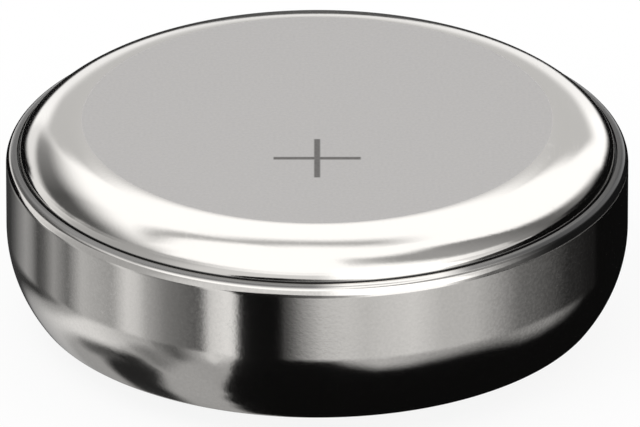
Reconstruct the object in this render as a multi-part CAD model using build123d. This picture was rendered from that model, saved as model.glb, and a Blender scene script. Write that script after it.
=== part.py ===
from build123d import *
import math
import os

os.makedirs("parts", exist_ok=True)

# A silver oxide button cell. Every piece is a body of revolution about Z, in millimetres.
# The cell rests on its negative cap: Z = 0 is the cap's contact face, and the closed end of the
# positive can is on top. Each section below is drawn as (radius, height) and turned about Z.

# Whole cell
cell_diameter = 5.80
cell_height = 2.00
fit_gap = 0.02  # clearance between pieces that nest

# Positive can: a drawn cup with a raised end, its open edge bent in over the gasket
can_sheet = 0.15
step_width = 0.135  # how far the raised end stands inside the wall
step_height = 0.325  # how far the raised end stands above the rim
shoulder_width = 0.585  # how far the shoulder curves in over the raised end
rim_radius = 0.05
bend_height = 0.75  # height of the wall that the crimp bends inwards
bend_radius = 1.22  # outer radius of that bend
lip_chamfer = 0.025

# Negative cap: a pressed cup with a folded rim
cap_sheet = 0.11
cap_projection = 0.20  # how far the contact stands out past the can's lip
cap_shoulder_height = 0.56
cap_shoulder_width = 0.24
cap_corner_radius = 0.15
cap_bend_chamfer = 0.03
fold_gap = 0.04  # space left inside the folded rim
fold_chamfer = 0.05  # the fold is pressed flat on the gasket's foot

# Sealing gasket
gasket_wall = 0.20
gasket_foot_thickness = 0.14
gasket_foot_width = 0.61
gasket_recess = 0.07  # how far the gasket's end stays behind the can's lip

# Support ring and membrane
ring_sheet = 0.10
ring_height = 0.255
ring_flange_width = 0.48
membrane_thickness = 0.08

# Heights, worked out from the top of the can downwards and from the contact face upwards
can_inside_top = cell_height - can_sheet
rim_height = cell_height - step_height
step_inside_height = rim_height - can_sheet
ring_top = step_inside_height - fit_gap
pellet_bottom = ring_top - ring_height
flange_top = pellet_bottom + ring_sheet
foot_top = pellet_bottom - membrane_thickness
cap_top = foot_top - gasket_foot_thickness
cap_shelf = cap_shoulder_height + cap_sheet
lip_height = cap_projection
bend_start = lip_height + bend_height
gasket_end = lip_height + gasket_recess

# Radii, worked out from the wall inwards
can_radius = cell_diameter / 2
can_bore = can_radius - can_sheet
raised_radius = can_radius - step_width
face_radius = raised_radius - shoulder_width
bend_centre = (can_radius - bend_radius, bend_start)
bend_angle = math.degrees(math.asin(bend_height / bend_radius))
disc_radius = can_bore - fit_gap
pellet_radius = disc_radius - ring_sheet - fit_gap
gasket_bore = disc_radius - gasket_wall
foot_bore = disc_radius - gasket_foot_width
fold_width = 2 * cap_sheet + fold_gap
fold_middle = gasket_bore - fit_gap - fold_width / 2
cap_bore = fold_middle - fold_width / 2
button_radius = fold_middle - fold_gap / 2 - cap_shoulder_width
button_bore = button_radius - cap_sheet

# The shoulder: an arc that leaves the face level and ends at the foot of the raised end
shoulder_radius = (shoulder_width**2 + step_height**2) / (2 * step_height)
shoulder_centre = (face_radius, cell_height - shoulder_radius)


def turned(face):
    """The solid that a (radius, height) section sweeps when it is turned about Z."""
    return revolve(Plane.XZ * face, axis=Axis.Z, revolution_arc=360)


def disc(radius, bottom, top):
    """A flat round disc between two heights."""
    return turned(make_face(Polyline((0, bottom), (radius, bottom), (radius, top), (0, top), close=True)))


def can_inside(clearance):
    """The space inside the can less a clearance, with the crimp's curve carried on to its centre."""
    bore = can_bore - clearance
    ceiling = step_inside_height - clearance
    curve = CenterArc(bend_centre, bore - bend_centre[0], 0, -90)
    sides = Polyline(curve @ 0, (bore, ceiling), (0, ceiling), (0, (curve @ 1).Y), curve @ 1)
    return make_face([curve, sides])


def shoulder_arc(radius, end_height):
    """An arc about the shoulder's centre that starts level and falls outwards to end_height."""
    fall = math.degrees(math.acos((end_height - shoulder_centre[1]) / radius))
    return CenterArc(shoulder_centre, radius, 90, -fall)


def positive_can():
    """Drawn nickel-plated steel cup: raised end, shoulder, narrow rim, wall and crimped lip."""
    shoulder = shoulder_arc(shoulder_radius, rim_height)
    top = Line((0, cell_height), shoulder @ 0)
    rim = FilletPolyline(shoulder @ 1, (can_radius, rim_height), (can_radius, bend_start), radius=rim_radius)
    inside_shoulder = shoulder_arc(shoulder_radius - can_sheet, step_inside_height)
    inside_step = Polyline((can_bore, bend_start), (can_bore, step_inside_height), inside_shoulder @ 1)
    inside_top = Polyline(inside_shoulder @ 0, (0, can_inside_top), (0, cell_height))
    outer_bend = CenterArc(bend_centre, bend_radius, 0, -bend_angle)
    inner_bend = CenterArc(bend_centre, bend_radius - can_sheet, 0, -bend_angle)
    lip = Line(outer_bend @ 1, inner_bend @ 1)
    outside = [top, shoulder, rim, outer_bend, lip]
    face = make_face([*outside, inner_bend, inside_step, inside_shoulder, inside_top])
    lip_corners = face.vertices().sort_by(Axis.Y)[:2]
    return turned(chamfer(lip_corners, lip_chamfer))


def cathode_pellet():
    """Pressed silver oxide tablet that fills the raised end, rebated underneath for the ring."""
    boss_radius = disc_radius - ring_flange_width - fit_gap
    step_foot = shoulder_arc(shoulder_radius - can_sheet, step_inside_height) @ 1
    bevel_slope = (can_inside_top - step_foot.Y) / (step_foot.X - face_radius)
    bevel_foot = step_foot.Y + (step_foot.X - fit_gap - pellet_radius) * bevel_slope
    outline = Polyline(
        (0, can_inside_top),
        (face_radius - fit_gap, can_inside_top),
        (pellet_radius, bevel_foot),
        (pellet_radius, flange_top),
        (boss_radius, flange_top),
        (boss_radius, pellet_bottom),
        (0, pellet_bottom),
        close=True,
    )
    return turned(make_face(outline))


def support_ring():
    """Angle-section steel ring round the pellet's lower edge, which takes the crimping force."""
    leg_inside = disc_radius - ring_sheet
    flange_inside = disc_radius - ring_flange_width
    outline = Polyline(
        (flange_inside, pellet_bottom),
        (disc_radius, pellet_bottom),
        (disc_radius, ring_top),
        (leg_inside, ring_top),
        (leg_inside, flange_top),
        (flange_inside, flange_top),
        close=True,
    )
    return turned(make_face(outline))


def sealing_gasket():
    """Nylon ring: a foot over the cap's rim, a wall round it, and an end squeezed by the crimp."""
    under_shoulder = cap_shoulder_height - fit_gap
    button_side = button_radius + fit_gap
    blank = Polyline(
        (foot_bore, foot_top),
        (can_radius, foot_top),
        (can_radius, gasket_end),
        (button_side, gasket_end),
        (button_side, under_shoulder - cap_bend_chamfer),
        (button_side + cap_bend_chamfer, under_shoulder),
        (gasket_bore, under_shoulder),
        (gasket_bore, cap_top),
        (foot_bore, cap_top),
        close=True,
    )
    return turned(make_face(blank) & can_inside(fit_gap))


def zinc_anode():
    """Gelled zinc powder, which takes the shape of the inside of the cap."""
    lower_radius = button_bore - fit_gap
    upper_radius = cap_bore - fit_gap
    outline = Polyline(
        (0, cap_sheet),
        (lower_radius, cap_sheet),
        (lower_radius, cap_shelf),
        (upper_radius, cap_shelf),
        (upper_radius, cap_top),
        (0, cap_top),
        close=True,
    )
    return turned(make_face(outline))


def negative_cap():
    """Pressed cup of clad sheet: contact face, shoulder, and a rim folded back on the outside."""
    leg_outside = fold_middle - fold_gap / 2
    skirt_inside = fold_middle + fold_gap / 2
    skirt_outside = fold_middle + fold_width / 2
    outline = Polyline(
        (0, 0),
        (button_radius, 0),
        (button_radius, cap_shoulder_height - cap_bend_chamfer),
        (button_radius + cap_bend_chamfer, cap_shoulder_height),
        (leg_outside, cap_shoulder_height),
        (leg_outside, cap_top - cap_sheet),
        (skirt_inside, cap_top - cap_sheet),
        (skirt_inside, cap_shoulder_height),
        (skirt_outside, cap_shoulder_height),
        (skirt_outside, cap_top - fold_chamfer),
        (skirt_outside - fold_chamfer, cap_top),
        (cap_bore + fold_chamfer, cap_top),
        (cap_bore, cap_top - fold_chamfer),
        (cap_bore, cap_shelf),
        (button_bore, cap_shelf),
        (button_bore, cap_sheet),
        (0, cap_sheet),
        close=True,
    )
    face = make_face(outline)
    contact_corner = face.vertices().sort_by_distance((button_radius, 0))[:1]
    return turned(fillet(contact_corner, cap_corner_radius))


pieces = {
    "positive_can": positive_can(),
    "cathode_pellet": cathode_pellet(),
    "support_ring": support_ring(),
    "barrier_membrane": disc(disc_radius, foot_top, pellet_bottom),
    "absorbent_pad": disc(foot_bore - fit_gap, cap_top, foot_top),
    "sealing_gasket": sealing_gasket(),
    "zinc_anode": zinc_anode(),
    "negative_cap": negative_cap(),
}

for name, piece in pieces.items():
    export_step(piece, f"parts/{name}.step")
    print(name, round(piece.volume, 4), "mm3")
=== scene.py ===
"""A silver oxide button cell, built up in the order in which it is put together: can, silver oxide pellet,
support ring, membrane, absorbent pad, gasket, zinc and cap. Lengths are in millimetres until they reach
a mesh."""

import bpy
import numpy as np
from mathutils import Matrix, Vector


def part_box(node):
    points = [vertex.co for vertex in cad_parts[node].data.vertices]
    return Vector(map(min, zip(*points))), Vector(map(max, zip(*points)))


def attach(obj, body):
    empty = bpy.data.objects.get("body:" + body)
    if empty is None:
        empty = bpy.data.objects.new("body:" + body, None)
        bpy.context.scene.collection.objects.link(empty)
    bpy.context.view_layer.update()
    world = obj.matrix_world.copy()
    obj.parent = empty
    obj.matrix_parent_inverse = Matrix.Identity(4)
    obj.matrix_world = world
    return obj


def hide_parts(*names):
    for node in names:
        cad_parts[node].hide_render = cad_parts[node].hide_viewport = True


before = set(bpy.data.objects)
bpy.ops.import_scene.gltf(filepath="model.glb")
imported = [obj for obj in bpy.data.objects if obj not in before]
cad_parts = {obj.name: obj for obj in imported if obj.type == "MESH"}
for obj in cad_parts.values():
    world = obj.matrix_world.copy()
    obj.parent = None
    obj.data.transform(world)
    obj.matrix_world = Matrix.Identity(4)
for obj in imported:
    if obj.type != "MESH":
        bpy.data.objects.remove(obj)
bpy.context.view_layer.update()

# --- Positive can ---------------------------------------------------------------------------------------
# The positive pole is one deep-drawn cup of nickel-plated steel, set open side down. Its flat end is satin
# and carries the plus sign, its shoulder and wall are bright, and its lip is rolled in over the gasket.
MM = 0.001
can_low, can_high = (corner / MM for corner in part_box("positive_can"))
wall_radius = can_high.x
face_height = can_high.z
can_sheet = 0.15
step_width = 0.125
step_height = 0.325
rim_edge_radius = 0.10
bend_height = face_height - 1.05
bend_radius = 1.22
lip_height = can_low.z
lip_edge_radius = 0.03
inside_corner_radius = 0.03
flat_radius = 2.18
foot_height = 0.045
foot_draft = 12
foot_fillet = 0.08
groove_depth = 0.03
groove_floor_width = 0.006
groove_mouth_width = 0.016
groove_fillet = 0.003
rim_height = face_height - step_height
step_radius = wall_radius - step_width
foot_radius = step_radius - foot_height * np.tan(np.radians(foot_draft))
groove_radius = step_radius + groove_depth * np.tan(np.radians(foot_draft))
shoulder_fall = step_height - foot_height
shoulder_radius = ((foot_radius - flat_radius) ** 2 + shoulder_fall ** 2) / (2 * shoulder_fall)


def arc(centre, radius, start, end, steps=12):
    """Points on a circle: centre plus radius times the cosine and sine of an angle that runs evenly from
    start to end, in degrees."""
    angle = np.radians(np.linspace(start, end, steps + 1))
    return np.column_stack((centre[0] + radius * np.cos(angle), centre[1] + radius * np.sin(angle)))


def rounded(*corners):
    """Straight lines through corners (r, z, radius), with each corner swapped for an arc that touches both
    of its lines. The arc's points are its end points' vectors from its centre, blended so that they swing
    evenly."""
    chain = [np.array([corners[0][:2]])]
    for before, (r, z, radius), after in zip(corners, corners[1:], corners[2:]):
        corner = np.array((r, z))
        arriving = (corner - before[:2]) / np.linalg.norm(corner - before[:2])
        leaving = (after[:2] - corner) / np.linalg.norm(after[:2] - corner)
        turn = np.arccos(np.clip(arriving @ leaving, -1, 1))
        inwards = (leaving - arriving) / np.linalg.norm(leaving - arriving)
        centre = corner + inwards * radius / np.cos(turn / 2)
        setback = radius * np.tan(turn / 2)
        first, last = corner - arriving * setback - centre, corner + leaving * setback - centre
        share = np.linspace(0, 1, 3 + int(np.degrees(turn) / 10))[:, None]
        swing = np.sin((1 - share) * turn) * first + np.sin(share * turn) * last
        chain.append(centre + swing / np.sin(turn))
    chain.append(np.array([corners[-1][:2]]))
    return np.vstack(chain)


def outline(*runs):
    """One outline from runs of points. Points that lie on the one before are dropped, and a long straight
    gets a point just inside each end, so that smooth shading turns at its corners and not along it."""
    end_margin, long_straight, same_place = 0.006, 0.03, 1e-6
    points = np.vstack(runs)
    points = points[np.r_[True, np.linalg.norm(np.diff(points, axis=0), axis=1) > same_place]]
    start, step = points[:-1], np.diff(points, axis=0)
    length = np.linalg.norm(step, axis=1)[:, None]
    margin = step / length * end_margin
    fine = np.stack((start, start + margin, start + step - margin), axis=1)
    kept = np.stack((length > 0, length > long_straight, length > long_straight), axis=1)[..., 0]
    return np.vstack((fine[kept], points[-1:]))


def placed(name, data):
    """A new object at the origin that shows this mesh, lamp or camera."""
    thing = bpy.data.objects.new(name, data)
    bpy.context.collection.objects.link(thing)
    return thing


def turned(name, profile, around=360, relief=None):
    """A surface of revolution: the profile's point r, z at the angle a goes to r cos a, r sin a, z. The
    profile runs with the material on its left, from the axis back to the axis, or round a ring and back to
    its first point. relief, when given, moves the points before they become a mesh."""
    ring = profile[0, 0] > 0
    rows = profile[:-1] if ring else profile[1:-1]
    angle = np.arange(around) * 2 * np.pi / around
    r, z = rows[:, :1], rows[:, 1:]
    points = np.stack((r * np.cos(angle), r * np.sin(angle), z + 0 * angle), axis=2).reshape(-1, 3)
    here = np.arange(len(points)).reshape(len(rows), around)
    beside = np.roll(here, -1, axis=1)
    after = np.roll(here, -1, axis=0)
    quads = np.stack((here, beside, np.roll(beside, -1, axis=0), after), axis=2)
    faces = (quads if ring else quads[:-1]).reshape(-1, 4).tolist()
    if not ring:
        first, last = np.full(around, len(points)), np.full(around, len(points) + 1)
        points = np.vstack((points, (0, 0, profile[0, 1]), (0, 0, profile[-1, 1])))
        faces += np.stack((first, beside[0], here[0]), axis=1).tolist()
        faces += np.stack((here[-1], beside[-1], last), axis=1).tolist()
    if relief:
        points = relief(points)
    mesh = bpy.data.meshes.new(name)
    mesh.from_pydata((points * MM).tolist(), [], faces)
    mesh.shade_smooth()
    return placed(name, mesh)


inside_face = face_height - can_sheet
inside_step_height = rim_height - can_sheet
bore_radius = wall_radius - can_sheet
bend_centre = (wall_radius - bend_radius, bend_height)
lip_angle = np.degrees(np.arcsin((bend_height - lip_height) / bend_radius))
lip_outside = bend_radius - lip_edge_radius
lip_inside = bend_radius - can_sheet + lip_edge_radius
edge_turn_out = np.degrees(np.arcsin(lip_edge_radius / lip_outside))
edge_turn_in = np.degrees(np.arcsin(lip_edge_radius / lip_inside))
edge_out = arc(bend_centre, lip_outside, edge_turn_out - lip_angle, 0, 1)[0]
edge_in = arc(bend_centre, lip_inside, edge_turn_in - lip_angle, 0, 1)[0]
shoulder_centre = (flat_radius, face_height - shoulder_radius)
shoulder_inside = shoulder_radius - can_sheet
inside_end = 90 - np.degrees(np.arccos((inside_step_height - shoulder_centre[1]) / shoulder_inside))
# A bend's arc stops this many degrees short of a corner, which leaves room for the fillet there.
fillet_room = 4
shoulder_start = 90 - np.degrees(np.arccos(1 - shoulder_fall / shoulder_radius)) + fillet_room
can_profile = outline(
    [(0, inside_face)],
    arc(shoulder_centre, shoulder_inside, 90, inside_end, 10),
    rounded((*arc(shoulder_centre, shoulder_inside, inside_end, 90, 1)[0], 0),
            (bore_radius, inside_step_height, inside_corner_radius),
            (bore_radius, bend_height, 0)),
    arc(bend_centre, bend_radius - can_sheet, 0, edge_turn_in - lip_angle, 20),
    arc(edge_in, lip_edge_radius, 180 + edge_turn_in - lip_angle, 270 - lip_angle, 6),
    arc(edge_out, lip_edge_radius, -90 - lip_angle, edge_turn_out - lip_angle, 6),
    arc(bend_centre, bend_radius, edge_turn_out - lip_angle, 0, 40),
    arc((wall_radius - rim_edge_radius, rim_height - rim_edge_radius), rim_edge_radius, 0, 90, 8),
    rounded((wall_radius - rim_edge_radius, rim_height, 0),
            (groove_radius + groove_mouth_width, rim_height, groove_fillet),
            (groove_radius + groove_floor_width, rim_height - groove_depth, groove_fillet),
            (groove_radius, rim_height - groove_depth, groove_fillet),
            (foot_radius, rim_height + foot_height, foot_fillet),
            (*arc(shoulder_centre, shoulder_radius, shoulder_start, 90, 1)[0], 0)),
    arc(shoulder_centre, shoulder_radius, shoulder_start, 90, 46),
    [(0, face_height)])
can = turned("can_body", can_profile)

wall_dark = (0.72, 0.700, 0.672, 1)
wall_light = (0.88, 0.855, 0.821, 1)
face_dark = (0.47, 0.458, 0.451, 1)
face_light = (0.60, 0.585, 0.575, 1)
mark_oxide = (0.10, 0.095, 0.09, 1)
# Painted shade: the rim top's darker nickel, the right side's darker nickel and the groove's black stand for
# shade and dark reflections, not for the metal's own colour.
rim_shade_nickel = (0.20, 0.196, 0.192, 1)
side_shade_nickel = (0.14, 0.137, 0.134, 1)
groove_shade_black = (0.010, 0.010, 0.010, 1)
satin_radius = flat_radius + 0.015
plus_centre = (0, -0.83, 0)
plus_arm = 0.405
plus_stroke = 0.028
# The middle of a place at the front right where the rim top is left without its painted shade, so that it
# shows its highlight.
highlight_centre = (0.72, -2.75, rim_height)

# A finish fades in or out between two heights, two radii, two places along X or two distances.
face_begins = (face_height - 0.012, face_height - 0.006)
satin_ends = (satin_radius - 0.005, satin_radius + 0.005)
arm_ends = (plus_arm - 0.008, plus_arm + 0.008)
stroke_ends = (plus_stroke - 0.009, plus_stroke + 0.009)
wall_ends = (rim_height - 0.05, rim_height)
strong_begins = (1.2, 2.0)
# Where the painted shade on the rim top, on the right side and its outer edge, and in the groove at the
# shoulder's foot begins and ends.
rim_top_begins = (rim_height - 0.028, rim_height - 0.012)
rim_top_ends = (rim_height + 0.004, rim_height + 0.012)
rim_begins = (step_radius + 0.015, step_radius + 0.025)
highlight_ends = (0.40, 0.80)
side_shade_begins = (1.3, 2.3)
side_shade_floor = (rim_height - 0.10, rim_height - 0.08)
side_shade_inside = (wall_radius - 0.12, wall_radius - 0.11)
groove_shade_floor = (rim_height - 0.05, rim_height - 0.04)
groove_shade_top = (rim_height + 0.004, rim_height + 0.016)
groove_shade_inside = (wall_radius - 0.160, wall_radius - 0.150)
groove_shade_outside = (wall_radius - 0.116, wall_radius - 0.104)
edge_shade_inside = (wall_radius - 0.080, wall_radius - 0.058)


def put(tree, kind, sockets=None, **settings):
    """Adds one node. Each named socket gets a value, or a link when it is given another node's output."""
    node = tree.nodes.new("ShaderNode" + kind)
    for key, value in settings.items():
        setattr(node, key, value)
    for key, value in (sockets or {}).items():
        if isinstance(value, bpy.types.NodeSocket):
            tree.links.new(value, node.inputs[key])
        else:
            node.inputs[key].default_value = value
    return node


def maths(tree, operation, *values):
    """The output of one Math node."""
    return put(tree, "Math", dict(enumerate(values)), operation=operation).outputs[0]


def blend(tree, share, low, high):
    """low where share is 0 and high where it is 1, for numbers. Either may be another node's output."""
    return put(tree, "MapRange", {"Value": share, "To Min": low, "To Max": high}).outputs[0]


def tint(tree, share, low, high):
    """low where share is 0 and high where it is 1, for colours. Either may be another node's output."""
    return put(tree, "Mix", {0: share, 6: low, 7: high}, data_type="RGBA").outputs[2]


def ramp(tree, value, low, high):
    """0 below low, 1 above high and a smooth S between them."""
    sockets = {"Value": value, "From Min": low, "From Max": high}
    return put(tree, "MapRange", sockets, interpolation_type="SMOOTHSTEP").outputs[0]


def fall(tree, value, low, high):
    """1 below low, 0 above high and a smooth S between them."""
    return maths(tree, "SUBTRACT", 1.0, ramp(tree, value, low, high))


def overlap(tree, *masks):
    """The product of masks, which is 1 only where all of them are."""
    product = masks[0]
    for mask in masks[1:]:
        product = maths(tree, "MULTIPLY", product, mask)
    return product


def new_group(name, inputs, outputs):
    """A shader node group with float or vector sockets. Returns its tree and its input and output nodes."""
    tree = bpy.data.node_groups.new(name, "ShaderNodeTree")
    for label, (kind, value) in inputs.items():
        socket = tree.interface.new_socket(label, in_out="INPUT", socket_type="NodeSocket" + kind)
        if value is not None:
            socket.default_value = value
    for label, kind in outputs.items():
        tree.interface.new_socket(label, in_out="OUTPUT", socket_type="NodeSocket" + kind)
    return tree, tree.nodes.new("NodeGroupInput"), tree.nodes.new("NodeGroupOutput")


def about_the_axis():
    """Group: a point's place in millimetres, its radius and its height. Round is the turn about the axis,
    as two parts, and the height: a noise in it that has the radius as its fourth part runs along lathe and
    drawing marks."""
    inputs = {"Marks": ("Float", 3.0), "Fineness": ("Float", 60.0)}
    outputs = {"Place": "Vector", "Radius": "Float", "Height": "Float", "Round": "Vector"}
    tree, given, result = new_group("about the axis", inputs, outputs)
    coordinates = put(tree, "TexCoord").outputs["Object"]
    place = put(tree, "Mapping", {"Vector": coordinates, "Scale": (1 / MM,) * 3})
    flat = put(tree, "VectorMath", {0: place.outputs[0], 1: (1, 1, 0)}, operation="MULTIPLY")
    radius = put(tree, "VectorMath", {0: flat.outputs[0]}, operation="LENGTH").outputs["Value"]
    way = put(tree, "VectorMath", {0: flat.outputs[0]}, operation="NORMALIZE")
    way = put(tree, "VectorMath", {0: way.outputs[0], "Scale": given.outputs["Marks"]}, operation="SCALE")
    parts = put(tree, "SeparateXYZ", {0: way.outputs[0]})
    height = put(tree, "SeparateXYZ", {0: place.outputs[0]}).outputs[2]
    level = maths(tree, "MULTIPLY", height, given.outputs["Fineness"])
    around = put(tree, "CombineXYZ", {0: parts.outputs[0], 1: parts.outputs[1], 2: level})
    for label, socket in (("Place", place.outputs[0]), ("Radius", radius), ("Height", height),
                          ("Round", around.outputs[0])):
        tree.links.new(socket, result.inputs[label])
    return tree


def metal_grain():
    """Group: the fine orange peel of drawn and plated sheet. Speckle is a mottle of the grain's size, and
    Scratch is a thin line wherever one of two noises crosses its middle value, in broad patches."""
    inputs = {"Place": ("Vector", None), "Grain": ("Float", 40.0)}
    tree, given, result = new_group("metal grain", inputs, {"Speckle": "Float", "Scratch": "Float"})
    place = given.outputs["Place"]
    speckle = put(tree, "TexNoise", {"Vector": place, "Scale": given.outputs["Grain"],
                                     "Detail": 3.0, "Roughness": 0.55})
    cloud = put(tree, "TexNoise", {"Vector": place, "Scale": 1.6, "Detail": 2.0})
    lines = []
    for turn, stretch in ((0.5, 0.06), (-0.9, 0.09)):
        turned_place = put(tree, "Mapping", {"Vector": place, "Rotation": (0.3, 0.2, turn),
                                             "Scale": (9.0, 9.0 * stretch, 9.0)})
        noise = put(tree, "TexNoise", {"Vector": turned_place.outputs[0], "Scale": 1.0, "Detail": 1.0})
        away = maths(tree, "ABSOLUTE", maths(tree, "SUBTRACT", noise.outputs[0], 0.5))
        lines.append(fall(tree, away, 0.0, 0.012))
    patches = ramp(tree, cloud.outputs[0], 0.52, 0.68)
    scratch = overlap(tree, maths(tree, "MAXIMUM", *lines), patches)
    tree.links.new(speckle.outputs[0], result.inputs["Speckle"])
    tree.links.new(scratch, result.inputs["Scratch"])
    return tree


axis_group, grain_group = about_the_axis(), metal_grain()


def use(tree, group, sockets=None):
    """Puts a node group into a material, with this material's own values. Returns the group's outputs."""
    return put(tree, "Group", sockets, node_tree=group).outputs


def bare_material(piece, name):
    """A material without any nodes yet, given to the piece."""
    material = bpy.data.materials.new(name)
    material.use_nodes = True
    material.node_tree.nodes.clear()
    piece.data.materials.append(material)
    return material


def finish_of(piece, name, sockets=None):
    """A material with one Principled shader on the piece. Returns its tree and that shader."""
    tree = bare_material(piece, name).node_tree
    shader = put(tree, "BsdfPrincipled", sockets)
    put(tree, "OutputMaterial", {"Surface": shader.outputs[0]})
    return tree, shader


def connect(tree, shader, **sockets):
    """Links outputs to the shader's sockets. Base_Color stands for Base Color."""
    for key, socket in sockets.items():
        tree.links.new(socket, shader.inputs[key.replace("_", " ")])


def bump(tree, height, depth):
    """A Bump node's normal. depth is the height in millimetres of a full step of the height input."""
    return put(tree, "Bump", {"Height": height, "Distance": depth * MM, "Strength": 1.0}).outputs[0]


tree, shader = finish_of(can, "plated_can_steel")
axis = use(tree, axis_group)
grain = use(tree, grain_group, {"Place": axis["Place"], "Grain": 34.0})
sideways = put(tree, "SeparateXYZ", {0: axis["Place"]}).outputs[0]

satin = overlap(tree, ramp(tree, axis["Height"], *face_begins), fall(tree, axis["Radius"], *satin_ends))
from_plus = put(tree, "VectorMath", {0: axis["Place"], 1: plus_centre}, operation="SUBTRACT")
from_plus = put(tree, "VectorMath", {0: from_plus.outputs[0]}, operation="ABSOLUTE")
from_plus = put(tree, "SeparateXYZ", {0: from_plus.outputs[0]}).outputs
strokes = []
for along, across in ((0, 1), (1, 0)):
    within_arm = fall(tree, from_plus[along], *arm_ends)
    strokes.append(overlap(tree, within_arm, fall(tree, from_plus[across], *stroke_ends)))
patchy = blend(tree, grain["Speckle"], 0.7, 1.0)
mark = overlap(tree, maths(tree, "MAXIMUM", *strokes), satin, patchy)

# The wall's mottle is stronger at the right, and the shoulder above the wall is even in tone.
strong_mottle = ramp(tree, grain["Speckle"], 0.34, 0.66)
mottle = blend(tree, ramp(tree, sideways, *strong_begins), grain["Speckle"], strong_mottle)
mottle = blend(tree, ramp(tree, axis["Height"], *wall_ends), mottle, 0.5)

# The rim's top is rougher and painted darker as shade, but for a place at the front right that keeps the
# wall's colour and shows its highlight. Its right side has painted shade, black at the outer edge, and the
# groove at the shoulder's foot is painted black as shade.
rim_top = maths(tree, "MINIMUM", ramp(tree, axis["Height"], *rim_top_begins),
                fall(tree, axis["Height"], *rim_top_ends))
from_highlight = put(tree, "VectorMath", {0: axis["Place"], 1: highlight_centre}, operation="DISTANCE")
off_highlight = ramp(tree, from_highlight.outputs["Value"], *highlight_ends)
rim_shade = overlap(tree, rim_top, ramp(tree, axis["Radius"], *rim_begins), off_highlight)
side_shade = overlap(tree, ramp(tree, sideways, *side_shade_begins), ramp(tree, axis["Height"], *side_shade_floor),
                  ramp(tree, axis["Radius"], *side_shade_inside))
groove_shade = overlap(tree, ramp(tree, axis["Height"], *groove_shade_floor), fall(tree, axis["Height"], *groove_shade_top),
                ramp(tree, axis["Radius"], *groove_shade_inside), fall(tree, axis["Radius"], *groove_shade_outside))
# Painted shade: the right side's outer edge is painted black.
edge_shade = overlap(tree, side_shade, ramp(tree, axis["Radius"], *edge_shade_inside))
black_shade = maths(tree, "MAXIMUM", groove_shade, edge_shade)

wall_tone = tint(tree, mottle, wall_dark, wall_light)
wall_tone = tint(tree, rim_shade, wall_tone, rim_shade_nickel)
wall_tone = tint(tree, side_shade, wall_tone, side_shade_nickel)
wall_tone = tint(tree, black_shade, wall_tone, groove_shade_black)
face_tone = tint(tree, grain["Speckle"], face_dark, face_light)
tone = tint(tree, mark, tint(tree, satin, wall_tone, face_tone), mark_oxide)
wall_roughness = blend(tree, grain["Speckle"], 0.05, 0.13)
wall_roughness = maths(tree, "MULTIPLY_ADD", grain["Scratch"], 0.08, wall_roughness)
wall_roughness = maths(tree, "MULTIPLY_ADD", rim_shade, 0.12, wall_roughness)
face_roughness = blend(tree, grain["Speckle"], 0.38, 0.46)
peel = maths(tree, "MULTIPLY_ADD", mark, -0.8, grain["Speckle"])
# The parts painted black as shade, in the groove and at the right side's outer edge, are not metal.
connect(tree, shader, Base_Color=tone, Metallic=maths(tree, "SUBTRACT", 1.0, black_shade),
        Roughness=blend(tree, satin, wall_roughness, face_roughness), Normal=bump(tree, peel, 0.0002))

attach(can, "root")
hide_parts("positive_can")

# --- Cathode pellet -------------------------------------------------------------------------------------
# Silver oxide powder with a little graphite, pressed into a hard black tablet that sits in the can's closed
# end. The boss on its open side comes down through the support ring.
pellet_low, pellet_high = (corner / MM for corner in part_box("cathode_pellet"))
boss_radius = 2.23
boss_height = 0.10
bevel_radius = flat_radius - 0.02
bevel_fall = 0.296
pressed_edge = 0.03
soot_black = (0.016, 0.016, 0.018, 1)
pressed_black = (0.055, 0.054, 0.056, 1)
silver_flake = (0.35, 0.35, 0.36, 1)
pellet_profile = outline(rounded(
    (0, pellet_low.z, 0),
    (boss_radius, pellet_low.z, pressed_edge),
    (boss_radius, pellet_low.z + boss_height, pressed_edge),
    (pellet_high.x, pellet_low.z + boss_height, pressed_edge),
    (pellet_high.x, pellet_high.z - bevel_fall, pressed_edge),
    (bevel_radius, pellet_high.z, pressed_edge),
    (0, pellet_high.z, 0)))
pellet = turned("silver_oxide_pellet", pellet_profile, around=240)
tree, shader = finish_of(pellet, "pressed_silver_oxide")
axis = use(tree, axis_group)
powder = put(tree, "TexNoise", {"Vector": axis["Place"], "Scale": 70.0, "Detail": 4.0, "Roughness": 0.7})
glints = put(tree, "TexVoronoi", {"Vector": axis["Place"], "Scale": 55.0})
flake = fall(tree, glints.outputs["Distance"], 0.10, 0.16)
soot = tint(tree, powder.outputs[0], soot_black, pressed_black)
connect(tree, shader, Base_Color=tint(tree, flake, soot, silver_flake), Metallic=flake,
        Roughness=blend(tree, powder.outputs[0], 0.85, 0.55), Normal=bump(tree, powder.outputs[0], 0.006))
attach(pellet, "root")
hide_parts("cathode_pellet")

# --- Support ring ---------------------------------------------------------------------------------------
# A stamped steel ring of angle section. Its leg stands against the can's wall under the step, and its flange
# carries the membrane and the gasket's foot when the can's lip is closed.
ring_low, ring_high = (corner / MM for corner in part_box("support_ring"))
ring_sheet = 0.10
flange_bore = ring_high.x - 0.48
sheared_edge = 0.015
ring_bend = 0.05
flange_middle = (flange_bore + ring_high.x) / 2
strip_dark = (0.50, 0.49, 0.48, 1)
strip_light = (0.66, 0.65, 0.63, 1)
ring_profile = outline(rounded(
    (flange_middle, ring_low.z, 0),
    (ring_high.x, ring_low.z, ring_bend),
    (ring_high.x, ring_high.z, sheared_edge),
    (ring_high.x - ring_sheet, ring_high.z, sheared_edge),
    (ring_high.x - ring_sheet, ring_low.z + ring_sheet, ring_bend),
    (flange_bore, ring_low.z + ring_sheet, sheared_edge),
    (flange_bore, ring_low.z, sheared_edge),
    (flange_middle, ring_low.z, 0)))
ring = turned("support_ring_steel", ring_profile, around=240)
tree, shader = finish_of(ring, "turned_ring_steel", {"Metallic": 1.0})
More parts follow.
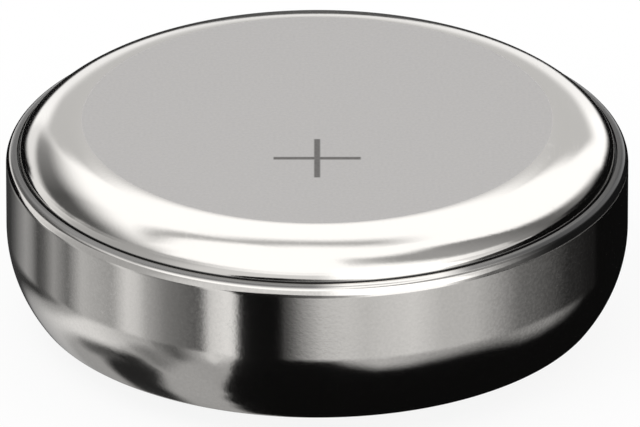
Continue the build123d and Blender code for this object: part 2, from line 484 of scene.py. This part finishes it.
axis = use(tree, axis_group, {"Marks": 2.0, "Fineness": 90.0})
grain = use(tree, grain_group, {"Place": axis["Place"], "Grain": 30.0})
marks = put(tree, "TexNoise", {"Vector": axis["Round"], "W": maths(tree, "MULTIPLY", axis["Radius"], 90.0),
                               "Scale": 1.0, "Detail": 2.0}, noise_dimensions="4D")
connect(tree, shader, Base_Color=tint(tree, marks.outputs[0], strip_dark, strip_light),
        Roughness=blend(tree, grain["Speckle"], 0.22, 0.38), Normal=bump(tree, marks.outputs[0], 0.001))
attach(ring, "root")
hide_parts("support_ring")

# --- Barrier membrane -----------------------------------------------------------------------------------
# A disc of amber cellulose film, cut as wide as the can's bore. It keeps silver out of the zinc half and
# lies flat between the ring's flange and the pad.
film_low, film_high = (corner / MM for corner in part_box("barrier_membrane"))
cut_edge = 0.01
deep_amber = (0.62, 0.33, 0.09, 1)
pale_amber = (0.80, 0.52, 0.20, 1)
membrane_profile = outline(rounded(
    (0, film_low.z, 0),
    (film_high.x, film_low.z, cut_edge),
    (film_high.x, film_high.z, cut_edge),
    (0, film_high.z, 0)))
membrane = turned("amber_membrane", membrane_profile, around=240)
tree, shader = finish_of(membrane, "cellulose_film", {"Specular IOR Level": 0.5, "Coat Weight": 0.3})
axis = use(tree, axis_group)
swirl = put(tree, "TexNoise", {"Vector": axis["Place"], "Scale": 2.2, "Detail": 3.0, "Distortion": 0.6})
fibres = put(tree, "TexNoise", {"Vector": axis["Place"], "Scale": 24.0, "Detail": 3.0})
connect(tree, shader, Base_Color=tint(tree, swirl.outputs[0], deep_amber, pale_amber),
        Roughness=blend(tree, fibres.outputs[0], 0.22, 0.40), Normal=bump(tree, fibres.outputs[0], 0.003))
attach(membrane, "root")
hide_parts("barrier_membrane")

# --- Absorbent pad --------------------------------------------------------------------------------------
# A punched disc of white nonwoven fleece, wet with electrolyte, inside the gasket's foot. Its faces are
# matted fibres and its cut edge is slightly ragged.
pad_low, pad_high = (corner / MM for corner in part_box("absorbent_pad"))
pad_edge = 0.035
matting_depth = 0.010
matting_length = 0.16
wet_fibres = (0.60, 0.60, 0.57, 1)
white_fibres = (0.86, 0.86, 0.84, 1)


def uneven(depth, length, seed, waves=24):
    """Relief that presses a closed piece in towards its middle. A point goes in by half of depth times one
    plus the sum of sine waves of random direction and of about one length, which is scaled and clipped so
    that the press lies between 0 and depth."""
    draw = np.random.default_rng(seed)
    way = draw.normal(size=(waves, 3))
    way *= 2 * np.pi / length / np.linalg.norm(way, axis=1)[:, None] * draw.uniform(0.6, 1.6, (waves, 1))
    start = draw.uniform(0, 2 * np.pi, waves)

    def relief(points):
        middle = (points.min(axis=0) + points.max(axis=0)) / 2
        half = (points.max(axis=0) - points.min(axis=0)) / 2
        hills = np.sin(points @ way.T + start).sum(axis=1) / np.sqrt(waves)
        press = depth / 2 * (1 + np.clip(hills, -1, 1))
        return middle + (points - middle) * (1 - press[:, None] / half)

    return relief


def filled(profile, spacing):
    """The outline with its straights cut into pieces no longer than spacing, which gives relief points to
    move."""
    step = np.diff(profile, axis=0)
    count = np.maximum(1, np.ceil(np.linalg.norm(step, axis=1) / spacing)).astype(int)
    owner = np.repeat(np.arange(len(step)), count)
    share = (np.arange(count.sum()) - np.repeat(np.cumsum(count) - count, count)) / count[owner]
    return np.vstack((profile[owner] + step[owner] * share[:, None], profile[-1:]))


pad_profile = filled(outline(rounded(
    (0, pad_low.z, 0),
    (pad_high.x, pad_low.z, pad_edge),
    (pad_high.x, pad_high.z, pad_edge),
    (0, pad_high.z, 0))), spacing=0.03)
matting = uneven(matting_depth, matting_length, seed=5)
pad = turned("fleece_pad", pad_profile, around=400, relief=matting)
tree, shader = finish_of(pad, "white_fleece", {"Sheen Weight": 0.3, "Specular IOR Level": 0.25})
axis = use(tree, axis_group)
threads = []
for turn in (0.2, 1.3, 2.4):
    laid = put(tree, "Mapping", {"Vector": axis["Place"], "Rotation": (0.4, 0.1, turn),
                                 "Scale": (60.0, 5.0, 60.0)})
    thread = put(tree, "TexNoise", {"Vector": laid.outputs[0], "Scale": 1.0, "Detail": 2.0,
                                    "Distortion": 0.8})
    threads.append(thread.outputs[0])
fleece = maths(tree, "MAXIMUM", maths(tree, "MAXIMUM", threads[0], threads[1]), threads[2])
connect(tree, shader, Base_Color=tint(tree, ramp(tree, fleece, 0.45, 0.75), wet_fibres, white_fibres),
        Roughness=blend(tree, fleece, 0.95, 0.75), Normal=bump(tree, fleece, 0.02))
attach(pad, "root")
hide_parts("absorbent_pad")

# --- Sealing gasket -------------------------------------------------------------------------------------
# One injection-moulded nylon ring, slightly green. It insulates the cap from the can, holds the cap's folded
# rim in its groove, and is squeezed by the can's rolled lip. Its end shows as a ring on the underside.
gasket_low, gasket_high = (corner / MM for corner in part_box("sealing_gasket"))
foot_thickness = 0.14
foot_bore = 2.12
fold_groove_radius = 2.53
groove_floor = gasket_high.z - foot_thickness
collar_bore = 2.14
collar_height = 0.54
moulded_edge = 0.03
seating_gap = 0.02
nylon_dark = (0.50, 0.56, 0.44, 1)
nylon_light = (0.62, 0.67, 0.54, 1)
end_middle = (collar_bore + 0.1, gasket_low.z, 0)
gasket_bend = bend_radius - can_sheet - seating_gap
gasket_turn = np.degrees(np.arcsin((bend_height - gasket_low.z) / gasket_bend))
bend_start = fillet_room - gasket_turn
gasket_profile = outline(
    rounded(end_middle,
            (*arc(bend_centre, gasket_bend, -gasket_turn, 0, 1)[0], moulded_edge),
            (*arc(bend_centre, gasket_bend, bend_start, 0, 1)[0], 0)),
    arc(bend_centre, gasket_bend, bend_start, 0, 20),
    rounded((gasket_high.x, bend_height, 0),
            (gasket_high.x, gasket_high.z, moulded_edge),
            (foot_bore, gasket_high.z, moulded_edge),
            (foot_bore, groove_floor, moulded_edge),
            (fold_groove_radius, groove_floor, moulded_edge),
            (fold_groove_radius, collar_height, moulded_edge),
            (collar_bore, collar_height, 2 * moulded_edge),
            (collar_bore, gasket_low.z, moulded_edge),
            end_middle))
gasket = turned("nylon_gasket", gasket_profile)
tree, shader = finish_of(gasket, "moulded_nylon", {"Subsurface Weight": 0.15, "Subsurface Scale": 0.0002,
                                                   "Specular IOR Level": 0.5})
axis = use(tree, axis_group, {"Marks": 4.0, "Fineness": 30.0})
flow = put(tree, "TexNoise", {"Vector": axis["Round"], "W": maths(tree, "MULTIPLY", axis["Radius"], 12.0),
                              "Scale": 1.0, "Detail": 2.0}, noise_dimensions="4D")
skin = put(tree, "TexNoise", {"Vector": axis["Place"], "Scale": 45.0, "Detail": 3.0})
connect(tree, shader, Base_Color=tint(tree, flow.outputs[0], nylon_dark, nylon_light),
        Roughness=blend(tree, skin.outputs[0], 0.36, 0.52), Normal=bump(tree, skin.outputs[0], 0.003))
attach(gasket, "root")
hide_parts("sealing_gasket")

# --- Zinc anode -----------------------------------------------------------------------------------------
# Zinc powder in a stiff gel, dosed into the cap. It fills the cap's bowl and spreads inside the folded rim,
# up to the absorbent pad.
zinc_low, zinc_high = (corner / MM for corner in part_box("zinc_anode"))
bowl_radius = 1.99
bowl_height = 0.67
gel_edge = 0.07
grain_depth = 0.012
grain_length = 0.12
dark_zinc = (0.22, 0.23, 0.25, 1)
light_zinc = (0.46, 0.47, 0.49, 1)
wet_gel = (0.10, 0.105, 0.11, 1)
zinc_profile = filled(outline(rounded(
    (0, zinc_low.z, 0),
    (bowl_radius, zinc_low.z, gel_edge),
    (bowl_radius, bowl_height, gel_edge / 2),
    (zinc_high.x, bowl_height, gel_edge),
    (zinc_high.x, zinc_high.z, gel_edge),
    (0, zinc_high.z, 0))), spacing=0.04)
grainy = uneven(grain_depth, grain_length, seed=9)
zinc = turned("zinc_gel", zinc_profile, around=400, relief=grainy)
tree, shader = finish_of(zinc, "zinc_powder_gel", {"Coat Weight": 0.4, "Coat Roughness": 0.15})
axis = use(tree, axis_group)
grains = put(tree, "TexVoronoi", {"Vector": axis["Place"], "Scale": 16.0})
fines = put(tree, "TexNoise", {"Vector": axis["Place"], "Scale": 60.0, "Detail": 3.0})
hue = put(tree, "SeparateColor", {0: grains.outputs["Color"]}).outputs[0]
zinc_tone = tint(tree, hue, dark_zinc, light_zinc)
gaps = ramp(tree, grains.outputs["Distance"], 0.32, 0.62)
surface = maths(tree, "MULTIPLY_ADD", gaps, -2.0, fines.outputs[0])
connect(tree, shader, Base_Color=tint(tree, gaps, zinc_tone, wet_gel),
        Metallic=maths(tree, "SUBTRACT", 1.0, gaps), Roughness=blend(tree, fines.outputs[0], 0.35, 0.65),
        Normal=bump(tree, surface, 0.006))
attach(zinc, "root")
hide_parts("zinc_anode")

# --- Negative cap ---------------------------------------------------------------------------------------
# The negative pole is a shallow pressed cup of nickel-faced strip. Its flat bottom is the contact face, a
# shoulder lifts it to the gasket, and its rim is folded back on itself to grip in the gasket's groove.
cap_low, cap_high = (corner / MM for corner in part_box("negative_cap"))
cap_sheet = 0.11
cap_radius = 2.12
cap_corner_radius = 0.15
cap_shoulder_height = 0.56
cap_bend = 0.05
fold_gap = 0.04
fold_radius = 0.10
fold_cut_edge = 0.015
rolled_dark = (0.66, 0.645, 0.62, 1)
rolled_light = (0.80, 0.785, 0.76, 1)
slot_outside = cap_high.x - cap_sheet
slot_inside = slot_outside - fold_gap
slot_centre = (slot_outside - fold_gap / 2, cap_high.z - cap_sheet - fold_gap / 2)
inner_radius = cap_radius - cap_sheet
inner_shoulder = cap_shoulder_height + cap_sheet
cap_profile = outline(
    rounded((0, cap_low.z, 0), (cap_radius, cap_low.z, cap_corner_radius),
            (cap_radius, cap_shoulder_height, cap_bend),
            (slot_inside, cap_shoulder_height, cap_bend),
            (slot_inside, slot_centre[1], 0)),
    arc(slot_centre, fold_gap / 2, 180, 0, 8),
    rounded((slot_outside, slot_centre[1], 0),
            (slot_outside, cap_shoulder_height, fold_cut_edge),
            (cap_high.x, cap_shoulder_height, fold_cut_edge),
            (cap_high.x, cap_high.z, fold_radius),
            (slot_inside - cap_sheet, cap_high.z, fold_radius),
            (slot_inside - cap_sheet, inner_shoulder, cap_bend / 2),
            (inner_radius, inner_shoulder, cap_bend),
            (inner_radius, cap_low.z + cap_sheet, cap_bend / 2),
            (0, cap_low.z + cap_sheet, 0)))
cap = turned("cap_body", cap_profile)
tree, shader = finish_of(cap, "nickel_faced_strip", {"Metallic": 1.0})
axis = use(tree, axis_group)
grain = use(tree, grain_group, {"Place": axis["Place"], "Grain": 30.0})
rolled = put(tree, "Mapping", {"Vector": axis["Place"], "Scale": (2.0, 70.0, 70.0)})
rolling = put(tree, "TexNoise", {"Vector": rolled.outputs[0], "Scale": 1.0, "Detail": 3.0})
lay = maths(tree, "MULTIPLY_ADD", grain["Scratch"], -0.6, rolling.outputs[0])
cap_tone = tint(tree, rolling.outputs[0], rolled_dark, rolled_light)
connect(tree, shader, Base_Color=cap_tone, Roughness=blend(tree, rolling.outputs[0], 0.20, 0.36),
        Normal=bump(tree, lay, 0.0008))
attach(cap, "root")
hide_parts("negative_cap")

# --- Floor ----------------------------------------------------------------------------------------------
# A round white table top. It keeps the cell's soft shadow near the cell and is plain white further out. It is
# clear from below, and the bright metal mirrors the dark cards of the tent in its place.
floor_radius = 400.0
shadow_near, shadow_far = 1.5, 7.0
plain_white_near = 0.88
white_top = (0.9, 0.9, 0.9, 1)
# A disc: its edge is the cosine and sine of an even turn, times its radius, at height 0.
floor_angle = np.linspace(0, 2 * np.pi, 96, endpoint=False)
floor_edge = np.stack((np.cos(floor_angle), np.sin(floor_angle), 0 * floor_angle), axis=1) * floor_radius
floor_mesh = bpy.data.meshes.new("table_top")
floor_mesh.from_pydata((floor_edge * MM).tolist(), [], [list(range(len(floor_edge)))])
floor = placed("table_top", floor_mesh)
floor.visible_glossy = False
tree = bare_material(floor, "pale_table").node_tree
from_middle = put(tree, "VectorMath", {0: put(tree, "TexCoord").outputs["Object"]}, operation="LENGTH")
further_out = ramp(tree, from_middle.outputs["Value"], shadow_near * MM, shadow_far * MM)
cloth = put(tree, "BsdfDiffuse", {"Color": white_top})
white = put(tree, "Emission", {"Color": (1, 1, 1, 1), "Strength": 1.0})
path = put(tree, "LightPath")
seen = maths(tree, "MAXIMUM", path.outputs["Is Camera Ray"], path.outputs["Is Transmission Ray"])
plain = blend(tree, further_out, plain_white_near, 1.0)
lit = put(tree, "MixShader", {0: overlap(tree, seen, plain), 1: cloth.outputs[0], 2: white.outputs[0]})
clear = put(tree, "BsdfTransparent")
below = put(tree, "NewGeometry").outputs["Backfacing"]
one_sided = put(tree, "MixShader", {0: below, 1: lit.outputs[0], 2: clear.outputs[0]})
put(tree, "OutputMaterial", {"Surface": one_sided.outputs[0]})

# --- Light tent -----------------------------------------------------------------------------------------
# A round tent of white cloth hung with grey and black cards, which only the bright metal mirrors. A direction
# in it is an azimuth, 0 towards the camera and growing to its right, and an elevation above the table.
tent_radius = 600.0
white_cloth = 1.3
black = 0.004
nadir = -100


def smooth(low, high, value):
    """0 below low, 1 above high and a smooth S between them."""
    share = np.clip((value - low) / (high - low), 0, 1)
    return share * share * (3 - 2 * share)


def card(azimuth, elevation, soft, corners):
    """One card: a mask, 1 inside and 0 outside, and its light. A corner is (azimuth, low, high, light), and
    the card's lower edge, upper edge and light run straight from corner to corner. The mask rises over soft
    degrees on each side of its lower and upper edges and inside its ends."""
    corner_azimuth, low, high, level = zip(*corners)
    mask = smooth(-soft, soft, elevation - np.interp(azimuth, corner_azimuth, low))
    mask = mask * smooth(-soft, soft, np.interp(azimuth, corner_azimuth, high) - elevation)
    mask = mask * smooth(0, soft, azimuth - corner_azimuth[0]) * smooth(0, soft, corner_azimuth[-1] - azimuth)
    return mask, np.interp(azimuth, corner_azimuth, level)


# The cards, from the back one to the front one: how soft each is and its corners. A card that goes on past
# straight behind, at 180, ends beyond it, where its soft end doesn't show.
cards = [
    # A grey streak high on the left, which runs on behind.
    (5, (-200, 70, 79, 0.5), (-140, 69, 78, 0.5), (-118, 57, 70, 0.55), (-105, 53, 61, 0.5),
     (-86, 48, 54, 1.0)),
    # Its shorter twin high on the right.
    (5, (115, 72, 76, 0.9), (150, 70, 79, 0.5), (200, 70, 79, 0.5)),
    # The bright lamp at the right front.
    (4, (7, 4, 62, 1.3), (15, 0, 62, 1.7), (46, 0, 56, 1.7), (62, 20, 46, 1.3)),
    # A veil that dims the cloth to the lamp's right.
    (4, (56, 0, 46, 1.1), (68, 0, 43, 0.8), (85, 0, 38, 0.58), (92, 0, 34, 0.3)),
    # A grey arc over the right side, which falls towards the back.
    (4, (18, 68, 76, 1.0), (38, 65, 77, 0.6), (55, 58, 73, 0.38), (75, 45, 69, 0.38), (87, 38, 67, 0.31),
     (95, 15, 62, 0.25), (105, 15, 46, 0.15), (115, 15, 36, 0.15), (135, 8, 19, 0.3), (142, 5, 14, 0.5)),
    # A grey band on the left.
    (10, (-162, 6, 25, 0.5), (-148, 6, 31, 0.25), (-128, 10, 40, 0.09), (-105, 12, 44, 0.11),
     (-70, 24, 48, 0.4)),
    # Light grey cloth from the left round to the front.
    (4, (-112, -16, 27, 0.65), (-100, -16, 31, 0.48), (-82, -14, 43, 0.42), (-64, -12, 49, 0.46),
     (-44, -10, 52, 0.75), (-20, -6, 53, 0.8), (0, 0, 54, 0.8), (8, 0, 54, 1.2)),
    # Duller cloth behind it.
    (3, (-168, -4, 8, 0.9), (-155, 0, 10, 0.92), (-140, 8, 15, 0.9), (-130, -4, 18, 0.92),
     (-118, -12, 22, 0.82), (-104, -14, 27, 0.58)),
    # The room behind, low down: its left half.
    (4, (-200, -25, 24, 0.92), (-168, -25, 14, 1.03), (-156, -25, 10, 1.25)),
    # The room's right half.
    (4, (158, -25, 10, 1.25), (168, -25, 14, 1.06), (200, -25, 24, 0.92)),
    # A pale card behind, at the height that the satin end mirrors: its left half.
    (5, (-200, 19, 30, 0.62), (-180, 19, 30, 0.62), (-176, 13, 32, 0.62), (-166, 10, 36, 0.6),
     (-154, 17, 28, 0.6)),
    # The pale card's right half.
    (5, (150, 15, 27, 0.62), (166, 9, 37, 0.62), (174, 11, 33, 0.62), (180, 19, 30, 0.62),
     (200, 19, 30, 0.62)),
    # The horizon on the left, with black below it. It is grey straight behind and bright in front.
    (2, (-200, nadir, 11, 0.12), (-180, nadir, 11, 0.12), (-178, nadir, 8, 0.08), (-176, nadir, 1, 0.03),
     (-172, nadir, -5, 0.01), (-163, nadir, -3, black), (-154, nadir, 0.5, black), (-141, nadir, 9, black),
     (-134, nadir, 8, black), (-126, nadir, -4, black), (-116, nadir, -17, black), (-36, nadir, -10, black),
     (-27, nadir, 4, black), (-14, nadir, 12, 0.01), (0, nadir, 8, 0.15), (9, nadir, 3, 0.4),
     (20, nadir, -2, 1.1)),
    # The horizon on the right, likewise.
    (2, (46, nadir, -2, 1.1), (54, nadir, 2, 0.5), (63, nadir, 8, 0.06), (82, nadir, 20, black),
     (103, nadir, 28, black), (115, nadir, 24.5, black), (135, nadir, 15.5, black),
     (145, nadir, 8.5, black), (155, nadir, -0.5, black), (165, nadir, -7, black), (172, nadir, -9, 0.01),
     (176, nadir, -1, 0.03), (178, nadir, 7, 0.08), (180, nadir, 11, 0.12), (200, nadir, 11, 0.12)),
    # Black all round, from 22 degrees below the table's level. The next cards hang in front of it.
    (1.5, (-200, nadir, -22, black), (200, nadir, -22, black)),
    # A grey card low on the left.
    (1.5, (-178, -60, -27, 0.3), (-160, -76, -27, 0.33), (-120, -76, -27, 0.38), (-90, -75, -27, 0.4),
     (-60, -67, -27, 0.4), (-48.5, -58, -27, 0.38), (-42, -52, -27, 0.38), (-37, -45, -27, 0.42),
     (-33, -35, -27, 0.55), (-29.5, -28, -26, 0.7)),
    # The card's light band.
    (2.5, (-172, -41, -33, 0.35), (-150, -42, -34.5, 0.5), (-126, -41, -35, 0.72), (-112, -40.5, -33, 0.82),
     (-98, -41, -29, 0.8), (-90, -41, -28, 0.72), (-68, -33, -26, 0.42)),
    # The long black patch under the light band.
    (2.5, (-148, -60, -54, 0.08), (-138, -65, -54, 0.03), (-122, -65, -50, 0.02), (-96, -60, -44, 0.02),
     (-87, -57, -43, 0.03), (-77, -52, -44, 0.15)),
    # The patch's tail at the back.
    (2, (-130, -46, -44, 0.32), (-118, -48, -42, 0.13), (-96, -49, -43, 0.05)),
    # A grey patch at its front.
    (4, (-82, -50, -37, 0.34), (-72, -50, -35, 0.2), (-62, -45, -34, 0.24), (-54, -40, -34, 0.38)),
    # A black strip along the card's top, at the back.
    (1.5, (-176, -31.5, -26, 0.04), (-130, -31.5, -26, 0.04), (-118, -30.5, -26, 0.15),
     (-108, -28.5, -26, 0.4)),
    # A black patch under the card's top, further to the front.
    (4, (-68, -38, -22, 0.3), (-56, -40, -22, 0.09), (-46, -36, -22, 0.35)),
    # The light end of the card at the front.
    (3, (-47, -34, -26, 0.3), (-41, -38, -26, 0.75), (-28, -27, -26, 0.6)),
    # Folded cloth at the height that the wall mirrors on the left: its folds are light and dark in turn.
    (1.2, (-200, -28, -19, 0.03), (-160, -28, -19, 0.04), (-152, -28, -18, 0.11), (-138, -28, -17, 0.35),
     (-133, -28, -16, 0.28), (-127, -28, -16, 0.07), (-122, -28, -16, 0.12), (-115, -28, -15, 0.35),
     (-106, -28, -14, 0.15), (-98, -28, -13, 0.52), (-82, -28, -11, 0.36), (-75, -28, -10, 0.76),
     (-70, -28, -10, 0.67), (-66, -28, -9, 0.42), (-58, -28, -9, 0.22), (-46, -28, -8, 0.1),
     (-43.5, -28, -8, 0.11), (-40, -28, -8, 0.7), (-33, -28, -7, 0.92), (-29.4, -28, -7, 0.8)),
    # A grey card low on the right.
    (5, (0, -24, -22, 0.2), (12, -32, -22, 0.42), (24, -37.5, -22, 0.5), (36, -37.5, -22, 0.43),
     (44, -36, -22, 0.36), (60, -34, -22, 0.3), (72, -34, -22, 0.26), (90, -36, -22, 0.28),
     (100, -35, -22, 0.27), (112, -32, -22, 0.15), (122, -27, -22, 0.02)),
    # A lighter card above it, at the height that the wall mirrors on the right.
    (1.7, (-14, -27, -20, 0.01), (-9, -27, -20, 0.18), (-5, -27, -20, 0.43), (2, -27.5, -20, 0.7),
     (10, -27.5, -20, 0.72), (18, -27.5, -20, 0.62), (36, -27.5, -20, 0.78), (47, -28, -20, 0.57),
     (60, -28, -20, 0.55), (72, -28, -20, 0.33), (80, -28, -20, 0.16), (106, -28, -20, 0.02),
     (127, -28, -20, 0.01)),
]

azimuth, elevation = np.meshgrid(np.arange(-180, 180), np.arange(-90, 91))
light = np.full(azimuth.shape, white_cloth)
for soft, *corners in cards:
    mask, level = card(azimuth, elevation, soft, corners)
    light += (level - light) * mask

# The tent is a sphere with a point for each degree of azimuth a and elevation e: its radius times
# cos e sin a, -cos e cos a, sin e. The light of that direction is the point's colour.
turn, rise = np.radians(azimuth), np.radians(elevation)
tent_points = np.stack((np.cos(rise) * np.sin(turn), -np.cos(rise) * np.cos(turn), np.sin(rise)), axis=2)
here = np.arange(azimuth.size).reshape(azimuth.shape)
beside = np.roll(here, -1, axis=1)
quads = np.stack((here[:-1], here[1:], beside[1:], beside[:-1]), axis=2).reshape(-1, 4)
tent_mesh = bpy.data.meshes.new("light_tent")
tent_mesh.from_pydata((tent_points.reshape(-1, 3) * tent_radius * MM).tolist(), [], quads.tolist())
layer = tent_mesh.color_attributes.new("light", "FLOAT_COLOR", "POINT")
layer.data.foreach_set("color", np.repeat(light.reshape(-1, 1), 4, axis=1).ravel())
tent = placed("light_tent", tent_mesh)
for ray in ("camera", "diffuse", "transmission", "volume_scatter", "shadow"):
    setattr(tent, "visible_" + ray, False)
material = bare_material(tent, "tent_cloth")
material.cycles.emission_sampling = "NONE"
tree = material.node_tree
painted = put(tree, "Attribute", attribute_name="light")
glow = put(tree, "Emission", {"Color": painted.outputs["Color"], "Strength": 1.0})
put(tree, "OutputMaterial", {"Surface": glow.outputs[0]})

# --- Lamp and world -------------------------------------------------------------------------------------
# One broad soft lamp above the cell's left front gives the table its shadow, and a plain even world fills it.
lamp_way = Vector((-0.35, -0.25, 0.9))
lamp_distance = 80.0
lamp_width = 50.0
lamp_share = 0.25
world_level = 0.72
lamp_data = bpy.data.lights.new("soft_lamp", "AREA")
lamp_data.shape = "DISK"
lamp_data.size = lamp_width * MM
# The power grows with the square of the distance, so lamp_share alone sets how strong the light is.
lamp_data.energy = lamp_share * np.pi ** 2 * (lamp_distance * MM) ** 2
lamp = placed("soft_lamp", lamp_data)
lamp.location = lamp_way.normalized() * lamp_distance * MM
lamp.rotation_euler = lamp.location.to_track_quat("Z", "Y").to_euler()
lamp.visible_glossy = False

world = bpy.data.worlds.new("studio")
world.use_nodes = True
tree = world.node_tree
tree.nodes.clear()
path = put(tree, "LightPath").outputs
seen = maths(tree, "MAXIMUM", path["Is Camera Ray"], path["Is Glossy Ray"])
seen = maths(tree, "MAXIMUM", seen, path["Is Transmission Ray"])
sky = put(tree, "Background", {"Color": (1, 1, 1, 1), "Strength": blend(tree, seen, world_level, 1.0)})
put(tree, "OutputWorld", {"Surface": sky.outputs[0]})
bpy.context.scene.world = world

# --- Camera ---------------------------------------------------------------------------------------------
# A long lens looks down on the cell from straight in front. It stands far off, so the cell's back looks as
# wide as its front, and the cell fills the picture.
aim = Vector((0.0264, 0, 1.0205)) * MM
camera_rise = np.radians(26.2)
camera_distance = 182.46
camera_data = bpy.data.cameras.new("camera")
camera_data.lens = 1100
camera_data.sensor_width = 36
camera_data.clip_start = 0.01
camera_data.clip_end = 10
camera = placed("camera", camera_data)
camera.location = aim + Vector((0, -np.cos(camera_rise), np.sin(camera_rise))) * camera_distance * MM
camera.rotation_euler = (np.pi / 2 - camera_rise, 0, 0)
scene = bpy.context.scene
scene.camera = camera
scene.view_settings.view_transform = "Standard"
